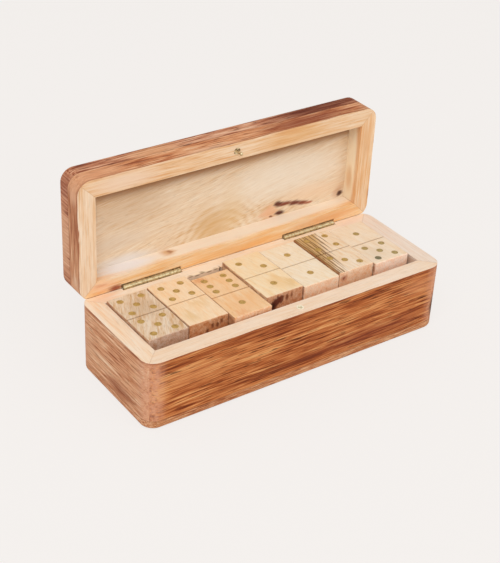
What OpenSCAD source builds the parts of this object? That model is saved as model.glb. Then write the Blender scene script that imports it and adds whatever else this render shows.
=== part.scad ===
// Hinged wooden storage box holding a set of 28 dominoes, in millimetres.
// +X runs along the box to the right, +Y to the back, +Z up.
// The origin is the middle of the underside. The lid is drawn standing open.

/* [Dominoes] */
// Width of a domino, along the box
tile_w = 24.9; // [20:0.1:30]
// Length of a domino, across the box
tile_l = 44.5; // [38:0.5:52]
// Thickness of a domino
tile_t = 10; // [7:0.1:12]
// Gap between neighbouring dominoes
tile_gap = 0.2; // [0.1:0.05:1]
// Small bevel along the edges of a domino
tile_bevel = 0.4; // [0.2:0.1:1]
// Width of the groove between the two halves of a domino
groove_w = 0.8; // [0.4:0.1:1.5]
// Depth of that groove
groove_depth = 0.5; // [0.2:0.1:1]

/* [Pips] */
// Diameter of a brass pip
pip_d = 4; // [3:0.1:5]
// Depth of the hole that a pip is set in
pip_hole = 2; // [1:0.1:4]
// How far a pip lies below the face of its domino
pip_sunk = 0.15; // [0.05:0.05:0.5]
// Distance between the pips of a half, across the domino
pip_across = 13.2; // [11:0.1:14.5]
// Distance between the pips of a half, along the domino
pip_along = 13; // [11:0.1:14]
// Radial clearance round a pip
pip_fit = 0.03; // [0.01:0.01:0.1]

/* [Box] */
// Thickness of the four walls, and width of the lid's rails
wall_t = 10.5; // [8:0.1:14]
// Thickness of the bottom board
bottom_t = 5.5; // [4:0.1:9]
// Radius of the four upright corners
corner_r = 8; // [5:0.1:12]
// Radius of the rounding along the outer edges of both boards
edge_r = 2.5; // [1:0.1:3.5]
// Spare length in the row of dominoes
row_room = 3.5; // [1:0.1:8]
// Gap between the left wall and the first domino
first_gap = 0.4; // [0.3:0.05:0.8]
// Spare width behind and in front of the dominoes
cross_room = 7.5; // [3:0.1:9]
// How far the top dominoes stand above the rim
proud = 2.5; // [0:0.1:4]

/* [Lid] */
// Height of the rails of the lid
rail_h = 11; // [8:0.1:20]
// Thickness of the top board of the lid
top_t = 10; // [6:0.1:14]
// Gap between the two rims when the lid is shut
rim_gap = 0.2; // [0.1:0.05:0.5]
// How far the lid stands open, in degrees
open_angle = 90; // [60:1:90]

/* [Hinges] */
// Length of a hinge
hinge_l = 37; // [25:1:45]
// Distance from a hinge to the near end of the box
hinge_end = 26.5; // [18:0.5:35]
// Outer diameter of the knuckles
knuckle_d = 3; // [2.4:0.1:4]
// Diameter of the hinge pin
pin_d = 1.6; // [1:0.1:2]
// Radial clearance of the pin in the knuckles
pin_fit = 0.05; // [0.02:0.01:0.1]
// Distance from the pin's axis to the back of the box
pin_inset = 1.6; // [1.6:0.1:3]
// Number of knuckles on a hinge
knuckles = 5; // [3:2:7]
// Gap between knuckles
knuckle_gap = 0.15; // [0.1:0.05:0.3]
// Thickness of a leaf
leaf_t = 1; // [0.6:0.1:1.2]
// Height of a leaf, from the pin's axis
leaf_h = 9; // [6:0.5:10]
// Clearance of a leaf in its saw kerf
kerf_fit = 0.05; // [0.02:0.01:0.2]
// Gap between the knuckles and the wood
notch_gap = 0.9; // [0.4:0.1:1.2]
// How much deeper than the pin's inset the back rims are bevelled
bevel_room = 0.1; // [0.05:0.05:0.5]

/* [Catch] */
// Diameter of the stud's shank
stud_d = 1.6; // [1.2:0.1:2.2]
// Diameter of the ball at the stud's tip
ball_d = 2.2; // [1.8:0.1:3]
// How far the stud stands out of the rim
stud_out = 5; // [3:0.1:7]
// Length of the stud inside the rail
stud_in = 6; // [4:0.1:7]
// Diameter of both collars
collar_d = 4.2; // [4:0.1:6]
// Thickness of both collars
collar_t = 0.7; // [0.4:0.1:1.5]
// Wall of the bush that the stud enters
bush_wall = 0.4; // [0.3:0.1:0.8]
// Clearance round the ball in the bush
ball_room = 0.3; // [0.3:0.05:0.6]
// Clearance below the ball in the bush
ball_depth = 1; // [0.5:0.1:2]
// Radial clearance of the stud and the bush in the wood
set_fit = 0.03; // [0.01:0.01:0.1]

/* [Hidden] */
$fn = 48;
// Cuts run past a face by this much
past = 1;
columns = 7;
layers = 4;

// Inside and outside of the box
row_l = columns * tile_w + (columns - 1) * tile_gap;
inner_l = row_l + row_room;
inner_w = tile_l + cross_room;
box_l = inner_l + 2 * wall_t;
box_w = inner_w + 2 * wall_t;
base_h = bottom_t + layers * tile_t - proud;

// Hinge axis, and the bevel that lets the lid turn until its back meets the base's
axis_y = box_w / 2 - pin_inset;
axis_z = base_h + rim_gap / 2;
back_bevel = pin_inset + bevel_room;
hinge_x = box_l / 2 - hinge_end - hinge_l / 2;
knuckle_l = hinge_l / knuckles;
knuckle_r = knuckle_d / 2;
notch_r = knuckle_r + notch_gap;
leaf_y = axis_y - knuckle_r;

// Catch, in the middle of the front rim
catch_y = -box_w / 2 + wall_t / 2;
bore_r = ball_d / 2 + ball_room;
bush_r = bore_r + bush_wall;
bush_l = stud_out + ball_depth;

// The dominoes, as [back half, front half]: the top layer as it lies from left to right
TOP = [[5, 5], [5, 0], [6, 1], [2, 1], [1, 1], [4, 3], [1, 5]];
function same(p, q) = (p == q) || (p == [q[1], q[0]]);
function in_top(p) = len([for (q = TOP) if (same(p, q)) 1]) > 0;
REST = [for (a = [0:6], b = [0:a]) if (!in_top([a, b])) [a, b]];
function pair(c, r) = r == layers - 1 ? TOP[c] : REST[r * columns + c];
function pair_name(p) = str(max(p), "_", min(p));

// Each column's dominoes were sawn a little thicker or thinner
SPARE_T = [-0.2, -0.05, -0.1, 0.25, 0.1, 0.3, 0.15];
// How far back each top domino lies, as a share of the spare width
LIE = [0.95, 0.92, 0.2, 0.95, 0.86, 0.9, 0.72];
// The layers below are pushed alternately to the front and to the back
LOWER_LIE = [0.2, 0.7, 0.4];
// Pips were marked out by hand: shares of the pip distances across and along each top domino
PIP_SPREAD = [[1, 1], [0.95, 0.93], [0.97, 0.94], [0.86, 0.66], [1, 1], [1, 0.85], [0.95, 0.96]];
function thick(c) = tile_t + SPARE_T[c];
function lie(c, r) = r == layers - 1 ? LIE[c] : LOWER_LIE[(c + r) % 3];
function tile_x(c) = -inner_l / 2 + first_gap + c * (tile_w + tile_gap) + tile_w / 2;
function tile_y(c, r) = (lie(c, r) - 0.5) * cross_room;
function tile_z(c, r) = bottom_t + r * thick(c);

// Places of the pips of a half, in steps of half the pip distances
CORNERS = [[-1, 1], [1, -1], [1, 1], [-1, -1]];
function spots(n) = concat(
    n % 2 == 1 ? [[0, 0]] : [],
    n > 1 ? [CORNERS[0], CORNERS[1]] : [],
    n > 3 ? [CORNERS[2], CORNERS[3]] : [],
    n > 5 ? [[-1, 0], [1, 0]] : []
);

// Plan of the box: a rectangle with round corners
module plan() {
    square([box_l - 2 * corner_r, box_w], center = true);
    square([box_l, box_w - 2 * corner_r], center = true);
    for (sx = [-1, 1], sy = [-1, 1])
        translate([sx * (box_l / 2 - corner_r), sy * (box_w / 2 - corner_r)])
            circle(corner_r);
}

// Plan of one side of a mitred frame: sides 0 front, 1 right, 2 back, 3 left
module mitred_side(side) {
    half = [box_l / 2, box_w / 2];
    inside = [inner_l / 2, inner_w / 2];
    turn = [[-1, -1], [1, -1], [1, 1], [-1, 1]];
    from = turn[side];
    to = turn[(side + 1) % 4];
    intersection() {
        polygon([
            [from.x * half.x, from.y * half.y], [to.x * half.x, to.y * half.y],
            [to.x * inside.x, to.y * inside.y], [from.x * inside.x, from.y * inside.y]
        ]);
        plan();
    }
}

// Section of a board's edge, rounded below, running to reach from a point inside the board
module edge_section(reach, thick) {
    difference() {
        square([reach, thick]);
        difference() {
            translate([reach - edge_r, -past]) square([edge_r + past, edge_r + past]);
            translate([reach - edge_r, edge_r]) circle(edge_r);
        }
    }
}

// A board on the plan of the box, with its lower outer edge rounded all round
module board(thick) {
    long = box_l - 2 * corner_r;
    wide = box_w - 2 * corner_r;
    translate([-long / 2, -wide / 2, 0]) cube([long, wide, thick]);
    for (end = [0, 1]) {
        rotate([0, 0, 180 * end]) {
            translate([-long / 2, wide / 2, 0])
                rotate([90, 0, 90]) linear_extrude(long) edge_section(corner_r, thick);
            translate([long / 2, wide / 2, 0])
                rotate([90, 0, 0]) linear_extrude(wide) edge_section(corner_r, thick);
            translate([long / 2, wide / 2, 0])
                rotate_extrude(angle = 90) edge_section(corner_r, thick);
            translate([-long / 2, wide / 2, 0]) rotate([0, 0, 90])
                rotate_extrude(angle = 90) edge_section(corner_r, thick);
        }
    }
}

// Bar whose slanted face bevels the back edge of a rim. It passes through the hinge axis
module rim_bevel(up) {
    translate([-box_l / 2 - past, axis_y + pin_inset, up > 0 ? base_h + rim_gap : base_h])
        rotate([90, 0, 90]) linear_extrude(box_l + 2 * past)
            polygon([
                [-back_bevel - past, -up * past], [past, -up * past],
                [past, up * (back_bevel + past)]
            ]);
}

// Room that one hinge takes in the wood: a notch for the knuckles and a kerf for the leaf
module hinge_seat(x, up) {
    translate([x - hinge_l / 2 - notch_gap, axis_y, axis_z]) rotate([0, 90, 0])
        cylinder(r = notch_r, h = hinge_l + 2 * notch_gap);
    deep = leaf_h + kerf_fit;
    translate([x - hinge_l / 2 - kerf_fit, leaf_y - kerf_fit, up > 0 ? axis_z : axis_z - deep])
        cube([hinge_l + 2 * kerf_fit, leaf_t + 2 * kerf_fit, deep]);
}

// One leaf with its own knuckles: the base's leaf has the first, third and last
module hinge_leaf(x, up) {
    own = up > 0 ? 1 : 0;
    bore_r = pin_d / 2 + pin_fit;
    translate([x - hinge_l / 2, axis_y, axis_z]) {
        difference() {
            union() {
                translate([0, -knuckle_r, up > 0 ? 0 : -leaf_h]) cube([hinge_l, leaf_t, leaf_h]);
                for (k = [own:2:knuckles - 1])
                    translate([k * knuckle_l + knuckle_gap / 2, 0, 0]) rotate([0, 90, 0])
                        cylinder(r = knuckle_r, h = knuckle_l - knuckle_gap);
            }
            for (k = [1 - own:2:knuckles - 1])
                translate([k * knuckle_l - knuckle_gap / 2, 0, 0]) rotate([0, 90, 0])
                    cylinder(r = knuckle_r + knuckle_gap, h = knuckle_l + knuckle_gap);
            translate([-past, 0, 0]) rotate([0, 90, 0]) cylinder(r = bore_r, h = hinge_l + 2 * past);
        }
    }
}

module hinge_pin(x) {
    color("darkgoldenrod")
        translate([x - hinge_l / 2, axis_y, axis_z]) rotate([0, 90, 0])
            cylinder(d = pin_d, h = hinge_l);
}

// Turns the lid, drawn shut, about the hinge axis to where it stands open
module opened() {
    translate([0, axis_y, axis_z]) rotate([-open_angle, 0, 0]) translate([0, -axis_y, -axis_z])
        children();
}

module base_wall(side) {
    color("chocolate") difference() {
        translate([0, 0, bottom_t]) linear_extrude(base_h - bottom_t) mitred_side(side);
        if (side != 0) rim_bevel(-1);
        if (side == 2) for (s = [-1, 1]) hinge_seat(s * hinge_x, -1);
        if (side == 0) translate([0, catch_y, 0]) {
            translate([0, 0, base_h - bush_l - set_fit]) cylinder(r = bush_r + set_fit, h = bush_l + past);
            translate([0, 0, base_h - collar_t - set_fit])
                cylinder(r = collar_d / 2 + set_fit, h = collar_t + past);
        }
    }
}

module lid_rail(side) {
    low = base_h + rim_gap;
    color("burlywood") opened() difference() {
        translate([0, 0, low]) linear_extrude(rail_h) mitred_side(side);
        if (side != 0) rim_bevel(1);
        if (side == 2) for (s = [-1, 1]) hinge_seat(s * hinge_x, 1);
        if (side == 0) translate([0, catch_y, low]) {
            translate([0, 0, -past]) cylinder(r = stud_d / 2 + set_fit, h = stud_in + set_fit + past);
            translate([0, 0, -past]) cylinder(r = collar_d / 2 + set_fit, h = collar_t + set_fit + past);
        }
    }
}

module bottom_panel() {
    color("sienna") board(bottom_t);
}

module lid_top_panel() {
    color("wheat") opened()
        translate([0, 0, base_h + rim_gap + rail_h + top_t]) mirror([0, 0, 1]) board(top_t);
}

// Ball-ended stud, set in the lid's front rail and pointing into the bush when the lid is shut
module catch_stud() {
    color("goldenrod") opened() translate([0, catch_y, base_h + rim_gap]) {
        translate([0, 0, -stud_out + ball_d / 2]) cylinder(d = stud_d, h = stud_out + stud_in - ball_d / 2);
        translate([0, 0, -stud_out + ball_d / 2]) sphere(d = ball_d);
        cylinder(d = collar_d, h = collar_t);
    }
}

// Lined socket in the base's front rim
module catch_bush() {
    color("palegoldenrod") translate([0, catch_y, base_h]) difference() {
        union() {
            translate([0, 0, -bush_l]) cylinder(r = bush_r, h = bush_l);
            translate([0, 0, -collar_t]) cylinder(d = collar_d, h = collar_t);
        }
        translate([0, 0, -bush_l + bush_wall]) cylinder(r = bore_r, h = bush_l + past);
    }
}

// Every pip place of a domino, about the middle of its top face
module at_pips(p, spread = [1, 1]) {
    for (half = [0, 1], s = spots(p[half]))
        translate([
            s.x * spread.x * pip_across / 2,
            (half == 0 ? 1 : -1) * tile_l / 4 + s.y * spread.y * pip_along / 2, 0
        ]) children();
}

// Outline of a domino seen along one of its axes, with bevelled corners
module bevelled(size) {
    polygon([
        for (q = [[-1, -1], [1, -1], [1, 1], [-1, 1]], step = [0, 1])
            let (first = (q.x * q.y > 0) == (step == 0))
            [
                q.x * (size.x / 2 - (first ? 0 : tile_bevel)),
                q.y * (size.y / 2 - (first ? tile_bevel : 0))
            ]
    ]);
}

module domino(c, r) {
    p = pair(c, r);
    t = thick(c);
    top = r == layers - 1;
    color(top ? "moccasin" : "burlywood")
        translate([tile_x(c), tile_y(c, r), tile_z(c, r)]) difference() {
            intersection() {
                linear_extrude(t) bevelled([tile_w, tile_l]);
                translate([0, tile_l / 2, t / 2]) rotate([90, 0, 0])
                    linear_extrude(tile_l) bevelled([tile_w, t]);
                translate([-tile_w / 2, 0, t / 2]) rotate([90, 0, 90])
                    linear_extrude(tile_w) bevelled([tile_l, t]);
            }
            translate([-tile_w / 2 - past, -groove_w / 2, t - groove_depth])
                cube([tile_w + 2 * past, groove_w, groove_depth + past]);
            deep = top ? pip_hole : pip_sunk;
            translate([0, 0, t - deep]) at_pips(p, top ? PIP_SPREAD[c] : [1, 1])
                cylinder(r = pip_d / 2 + (top ? pip_fit : 0), h = deep + past);
        }
}

// The brass pips of a top domino, set in its holes
module pips(c) {
    color("darkkhaki")
        translate([tile_x(c), tile_y(c, layers - 1), tile_z(c, layers) - pip_hole])
            at_pips(TOP[c], PIP_SPREAD[c]) cylinder(d = pip_d, h = pip_hole - pip_sunk);
}

bottom_panel();
base_wall(0);  // front_wall
base_wall(1);  // right_wall
base_wall(2);  // back_wall
base_wall(3);  // left_wall
lid_top_panel();
lid_rail(0);  // lid_front_rail
lid_rail(1);  // lid_right_rail
lid_rail(2);  // lid_back_rail
lid_rail(3);  // lid_left_rail
color("goldenrod") hinge_leaf(-hinge_x, -1);  // left_hinge_base_leaf
color("goldenrod") opened() hinge_leaf(-hinge_x, 1);  // left_hinge_lid_leaf
hinge_pin(-hinge_x);  // left_hinge_pin
color("goldenrod") hinge_leaf(hinge_x, -1);  // right_hinge_base_leaf
color("goldenrod") opened() hinge_leaf(hinge_x, 1);  // right_hinge_lid_leaf
hinge_pin(hinge_x);  // right_hinge_pin
catch_stud();
catch_bush();
for (r = [0:layers - 1], c = [0:columns - 1])
    domino(c, r);
for (c = [0:columns - 1])
    pips(c);
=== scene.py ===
"""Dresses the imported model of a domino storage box, and sets its lights and camera.

Lengths are in millimetres in the frame of the model: +X to the right along the box, +Y to the back,
+Z up, from the middle of the underside. The lid stands open. They turn into metres where Blender
needs them.
"""

import logging
import math
from dataclasses import dataclass, replace
from enum import Enum
from typing import Any, Callable, Dict, List, Mapping, Optional, Sequence, Tuple, Union

import bmesh
import bpy
from mathutils import Matrix, Vector


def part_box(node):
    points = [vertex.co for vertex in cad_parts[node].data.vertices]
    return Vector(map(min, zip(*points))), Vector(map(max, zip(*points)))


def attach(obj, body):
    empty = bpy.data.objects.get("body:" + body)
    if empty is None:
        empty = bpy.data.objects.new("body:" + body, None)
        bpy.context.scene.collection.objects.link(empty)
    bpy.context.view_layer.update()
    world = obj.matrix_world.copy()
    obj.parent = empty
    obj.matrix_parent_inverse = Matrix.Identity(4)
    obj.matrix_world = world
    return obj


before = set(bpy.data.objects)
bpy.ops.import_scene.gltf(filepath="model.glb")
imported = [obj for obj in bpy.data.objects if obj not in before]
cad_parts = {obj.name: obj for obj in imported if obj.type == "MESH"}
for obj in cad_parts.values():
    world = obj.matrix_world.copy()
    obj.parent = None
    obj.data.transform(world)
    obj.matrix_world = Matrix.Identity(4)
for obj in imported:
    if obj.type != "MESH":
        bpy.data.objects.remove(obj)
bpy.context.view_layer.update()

LOG = logging.getLogger("domino_box")
MM = 0.001  # a millimetre in Blender's metres
PICTURE = (500, 563)  # the photograph, in pixels

Tone = Tuple[int, int, int]  # a colour as it shows on a screen, from 0 to 255
Colour = Tuple[float, float, float]  # a colour as shaders take it
Place = Tuple[float, float, float]
Pair = Tuple[float, float]
Value = Union["Wire", float, Sequence[float]]

# The noises of a wood: length of a blot over its width, number of its seed, detail
Noise = Tuple[float, int, float]
BANDS: Noise = (9.0, 0, 3.0)
STREAKS: Noise = (18.0, 1, 4.0)
FIBRES: Noise = (22.0, 2, 3.0)
PORES: Noise = (13.75, 3, 1.0)
SWAY_SEED, SWAY_SIZES = 4, (70.0, 24.0)
SEED_STEP = 7.3  # how far apart two seeds lie in the noise
TONES_FROM, TONES_OVER = 0.14, 0.72  # where a wood's tones begin on its ramp, and their share of it
PORE_EDGE = (0.58, 0.72)  # the noise at which a pore starts to open, and at which it is open
PORE_WIDTH, PORE_SHADE, PORE_DEPTH = 0.8, 0.4, 0.6  # a pore's size, tone and depth
DRIFT = (4.0, 1.0)  # how far the noise pulls a mark's outline, along the grain and across it
RING_WAVER = 6.0  # how far it bends the rings round a mark


class Wire:
    """One output of a material's nodes. Python's operators on it add the nodes of their maths."""

    def __init__(self, graph: "Graph", socket: bpy.types.NodeSocket) -> None:
        """Wraps one output socket of graph."""
        self.graph = graph
        self.socket = socket

    def sibling(self, name: str) -> "Wire":
        """Another output of the same node."""
        return Wire(self.graph, self.socket.node.outputs[name])

    def _maths(self, operation: str, left: Value, right: Value) -> "Wire":
        """Adds a Math node, or a Vector Math node where this wire carries a vector."""
        vector = self.socket.type in {"VECTOR", "RGBA"}
        kind = "ShaderNodeVectorMath" if vector else "ShaderNodeMath"
        return self.graph.add(kind, {"operation": operation}, {0: left, 1: right})

    def __add__(self, other: Value) -> "Wire":
        """This value plus other."""
        return self._maths("ADD", self, other)

    def __sub__(self, other: Value) -> "Wire":
        """This value less other."""
        return self._maths("SUBTRACT", self, other)

    def __rsub__(self, other: Value) -> "Wire":
        """Other less this value."""
        return self._maths("SUBTRACT", other, self)

    def __mul__(self, other: Value) -> "Wire":
        """This value times other."""
        return self._maths("MULTIPLY", self, other)

    def __truediv__(self, other: Value) -> "Wire":
        """This value over other."""
        return self._maths("DIVIDE", self, other)

    def __abs__(self) -> "Wire":
        """This value without its sign."""
        return self._maths("ABSOLUTE", self, 0.0)

    def least(self, other: Value) -> "Wire":
        """The smaller of this value and other."""
        return self._maths("MINIMUM", self, other)

    def most(self, other: Value) -> "Wire":
        """The larger of this value and other."""
        return self._maths("MAXIMUM", self, other)

    def toward(self, other: Value, share: Value) -> "Wire":
        """This value, moved that share of the way to other."""
        return self + (other - self) * share

    def wave(self) -> "Wire":
        """The sine of this value."""
        return self._maths("SINE", self, 0.0)

    def length(self) -> "Wire":
        """The length of this vector."""
        return self.graph.add("ShaderNodeVectorMath", {"operation": "LENGTH"}, {0: self}, "Value")


class Graph:
    """The node tree of one new material."""

    def __init__(self, name: str) -> None:
        """Makes the material with an empty tree."""
        self.material = bpy.data.materials.new(name)
        self.material.use_nodes = True
        self.tree = self.material.node_tree
        self.tree.nodes.clear()

    def add(
        self,
        kind: str,
        settings: Optional[Mapping[str, Any]] = None,
        sockets: Optional[Mapping[Union[int, str], Value]] = None,
        output: Union[int, str] = 0,
    ) -> Wire:
        """Adds any node.

        Args:
            kind: the node's type.
            settings: its properties, set first. stops holds a ramp's places and colours.
            sockets: values or wires for its inputs, by name or number.
            output: the output to return.

        Returns:
            The wire of that output, an empty one where the node has none.
        """
        node = self.tree.nodes.new(kind)
        for name, setting in (settings or {}).items():
            if name == "stops":
                self._set_stops(node.color_ramp, setting)
            else:
                setattr(node, name, setting)
        for name, value in (sockets or {}).items():
            socket = node.inputs[name]
            if isinstance(value, Wire):
                self.tree.links.new(value.socket, socket)
            elif isinstance(value, (int, float)):
                many = socket.type in {"VECTOR", "RGBA"}
                socket.default_value = [value] * len(socket.default_value) if many else value
            else:
                full = list(value) + [1.0] * (socket.type == "RGBA" and len(value) == 3)
                socket.default_value = full
        chosen = node.outputs[output] if len(node.outputs) else None
        return Wire(self, chosen)

    @staticmethod
    def _set_stops(ramp: bpy.types.ColorRamp, stops: Sequence[Tuple[float, Colour]]) -> None:
        """Gives a ramp its stops."""
        ramp.interpolation = "LINEAR"
        while len(ramp.elements) < len(stops):
            ramp.elements.new(1.0)
        for element, (position, colour) in zip(ramp.elements, stops):
            element.position = position
            element.color = (*colour, 1.0)

    def place(self) -> Wire:
        """The shaded point at rest, in millimetres in the model's frame."""
        return self.add("ShaderNodeTexCoord", output="Object") * (1.0 / MM)

    def split(self, vector: Wire) -> Tuple[Wire, Wire, Wire]:
        """The three numbers of a vector."""
        first = self.add("ShaderNodeSeparateXYZ", sockets={0: vector})
        return first, first.sibling("Y"), first.sibling("Z")

    def join(self, x: Value, y: Value, z: Value) -> Wire:
        """A vector of three numbers."""
        return self.add("ShaderNodeCombineXYZ", sockets={0: x, 1: y, 2: z})

    def spread(self, value: Wire, shares: Place) -> Wire:
        """A vector with a share of value along each axis."""
        return self.add("ShaderNodeVectorMath", {"operation": "MULTIPLY"}, {0: value, 1: shares})

    def noise(self, place: Wire, sizes: Place, seed: float, detail: float) -> Wire:
        """Soft noise whose blots are as large as sizes, from 0 to 1 and mostly near the middle."""
        moves = {0: place, 1: [1.0 / size for size in sizes], 2: [seed * SEED_STEP] * 3}
        moved = self.add("ShaderNodeVectorMath", {"operation": "MULTIPLY_ADD"}, moves)
        sockets = {"Vector": moved, "Scale": 1.0, "Detail": detail}
        return self.add("ShaderNodeTexNoise", None, sockets)

    def span(self, value: Value, low: float, high: float, to: Pair = (0.0, 1.0)) -> Wire:
        """Maps low to high smoothly onto the range to, and stays within it."""
        settings = {"interpolation_type": "SMOOTHSTEP", "clamp": True}
        sockets = {0: value, 1: low, 2: high, 3: to[0], 4: to[1]}
        return self.add("ShaderNodeMapRange", settings, sockets)

    def fade(self, value: Value, low: float, high: float) -> Wire:
        """1 up to low, and from there smoothly down to 0 at high."""
        return self.span(value, low, high, (1.0, 0.0))

    def mix(self, factor: Value, under: Value, over: Value) -> Wire:
        """Colour over laid on colour under."""
        settings = {"data_type": "RGBA", "clamp_factor": True}
        return self.add("ShaderNodeMix", settings, {0: factor, 6: under, 7: over}, 2)

    def ramp(self, value: Value, stops: Sequence[Tuple[float, Colour]]) -> Wire:
        """A colour by value."""
        return self.add("ShaderNodeValToRGB", {"stops": stops}, {0: value})

    def finish(self, height: Wire, depth: float, **sockets: Value) -> bpy.types.Material:
        """Closes the tree with its shader.

        Args:
            height: the relief.
            depth: how deep the relief is, in millimetres.
            sockets: inputs of the shader, with _ for a space in their names.

        Returns:
            The material.
        """
        values: Dict[Union[int, str], Value] = {k.replace("_", " "): v for k, v in sockets.items()}
        bump = {"Strength": 1.0, "Distance": depth * MM, "Height": height}
        values["Normal"] = self.add("ShaderNodeBump", None, bump)
        self.add_output(self.add("ShaderNodeBsdfPrincipled", None, values))
        return self.material

    def add_output(self, shader: Wire) -> None:
        """Joins a shader to the material's surface."""
        self.add("ShaderNodeOutputMaterial", sockets={"Surface": shader})


class Axis(Enum):
    """An axis of the model's frame, such as the one that a board's grain runs along."""

    X = 0
    Y = 1
    Z = 2

    def sizes(self, along: float, across: float) -> Place:
        """The sizes of a blot that long along the grain and that wide across it."""
        return tuple(along if axis == self.value else across for axis in range(3))


def seen(tone: Tone) -> Colour:
    """The colour that shows as tone on a screen."""
    shares = (channel / 255 for channel in tone)
    return tuple(s / 12.92 if s <= 0.04045 else ((s + 0.055) / 1.055) ** 2.4 for s in shares)


def palette(*tones: Tone) -> Tuple[Colour, ...]:
    """The colours of a wood, from its darkest streak to its palest."""
    return tuple(seen(tone) for tone in tones)


def shades(middle: Tone, spread: float = 1.0) -> Tuple[Colour, ...]:
    """Five colours of one wood, from dark to pale, about its middle tone."""
    powers = (0.7, 0.28, 0.02, -0.14, -0.3)
    return tuple(tuple(c ** (1.0 + spread * power) for c in seen(middle)) for power in powers)


@dataclass(frozen=True)
class Mark:
    """A place in a board that differs, such as a knot, a pale band, a worn place, painted shade or
    painted light.

    Attributes:
        at: its middle.
        reach: half its size along each axis.
        colour: its own colour, if it has one.
        strength: how far that colour covers the wood.
        shift: how much paler its grain is, below 0 darker.
        rings: how many rings of the grain lie round its middle, 0 for an even shift.
        soft: the share of it over which it fades.
        wander: how far the grain pulls its outline about.
    """

    at: Place
    reach: Place
    colour: Optional[Tone] = None
    strength: float = 0.7
    shift: float = 0.0
    rings: float = 0.0
    soft: float = 0.8
    wander: float = 3.0

    def away(self, place: Wire) -> Wire:
        """How far a point lies from the middle, 1 at the outline."""
        return ((place - self.at) / self.reach).length()

    def mask(self, away: Wire) -> Wire:
        """How much of the mark shows at a point that far away, from 1 to 0."""
        return away.graph.fade(away, 1.0 - self.soft, 1.0)

    def over(self, under: Wire, mask: Wire) -> Wire:
        """The colour under, with the mark's own colour laid on it by mask."""
        return under.graph.mix(mask * self.strength, under, seen(self.colour))


def on_face(axis: Axis, level: float, depth: float) -> Callable[..., Mark]:
    """Makes the maker of the marks of one flat face.

    Args:
        axis: the axis that the face looks along.
        level: its place on that axis.
        depth: how far its marks reach along that axis.

    Returns:
        A function of a mark's middle on the face, its two half sizes there, and the rest of a Mark.
    """

    def mark(u: float, v: float, wide: float, tall: float, *rest: Any, **more: Any) -> Mark:
        """Makes one mark of that face."""
        at, reach = [u, v], [wide, tall]
        at.insert(axis.value, level)
        reach.insert(axis.value, depth)
        return Mark(tuple(at), tuple(reach), *rest, **more)

    return mark


@dataclass(frozen=True)
class Timber:
    """The look of one kind of sawn wood.

    Attributes:
        tones: colours from its darkest streak to its palest.
        grain: axis of the grain.
        broad: width of the broad bands.
        streak: width of the streaks.
        fibre: width of the fine lines.
        weights: how much bands, streaks and fine lines differ.
        pores: how dark the open pores are.
        slope: how far the grain leans to each axis on its way.
        sway: how far the grain bends from side to side.
        stretch: how long its streaks are, 1 for a common board.
        seed: another number gives another board.
        marks: places that differ.
    """

    tones: Tuple[Colour, ...]
    grain: Axis = Axis.X
    broad: float = 6.0
    streak: float = 1.9
    fibre: float = 0.7
    weights: Tuple[float, float, float] = (0.5, 0.55, 1.7)
    pores: float = 0.5
    slope: Place = (0.0, 0.0, 0.0)
    sway: float = 2.0
    stretch: float = 1.0
    seed: float = 1.0
    marks: Tuple[Mark, ...] = ()

    def paint(self, graph: Graph, place: Wire) -> Tuple[Wire, Wire]:
        """Adds the wood's nodes.

        Args:
            graph: the material.
            place: the shaded point in millimetres.

        Returns:
            The colour, and a height between 0 and 1.
        """
        bent = self._bend(graph, place)
        broad = self._blots(bent, self.broad, BANDS)
        streak = self._blots(bent, self.streak, STREAKS)
        fibre = self._blots(bent, self.fibre, FIBRES)
        level = (broad - 0.5) * self.weights[0] + (streak - 0.5) * self.weights[1]
        level = level + (fibre - 0.5) * self.weights[2] + 0.5
        drift = graph.spread(broad + streak - 1.0, self.grain.sizes(*DRIFT))
        masks: List[Wire] = []
        for mark in self.marks:
            away = mark.away(place + drift * mark.wander)
            mask = mark.mask(away)
            if mark.rings:
                turns = away * (2.0 * math.pi * mark.rings) + broad * RING_WAVER
                level = level + turns.wave() * mask * mark.shift
            elif mark.shift:
                level = level + mask * mark.shift
            masks.append(mask)
        last = len(self.tones) - 1
        stops = [(TONES_FROM + TONES_OVER * i / last, tone) for i, tone in enumerate(self.tones)]
        colour = graph.ramp(level, stops)
        open_pore = graph.span(self._blots(bent, self.fibre * PORE_WIDTH, PORES), *PORE_EDGE)
        dark = tuple(PORE_SHADE * c for c in self.tones[0])
        colour = graph.mix(open_pore * self.pores, colour, dark)
        for mark, mask in zip(self.marks, masks):
            if mark.colour:
                colour = mark.over(colour, mask)
        return colour, level * 0.5 + fibre * 0.5 - open_pore * PORE_DEPTH

    def _blots(self, bent: Wire, width: float, kind: Noise) -> Wire:
        """One of the wood's noises, its blots that wide and drawn out along the grain."""
        length, number, detail = kind
        sizes = self.grain.sizes(width * length * self.stretch, width)
        return bent.graph.noise(bent, sizes, self.seed + number, detail)

    def _bend(self, graph: Graph, place: Wire) -> Wire:
        """The point's place along and across the leaning, swaying grain."""
        along = graph.split(place)[self.grain.value]
        swing = graph.noise(place, self.grain.sizes(*SWAY_SIZES), self.seed + SWAY_SEED, 1.0) - 0.5
        leaning = place + graph.spread(along, self.slope)
        return leaning + graph.spread(swing, self.grain.sizes(0.0, self.sway))


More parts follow.
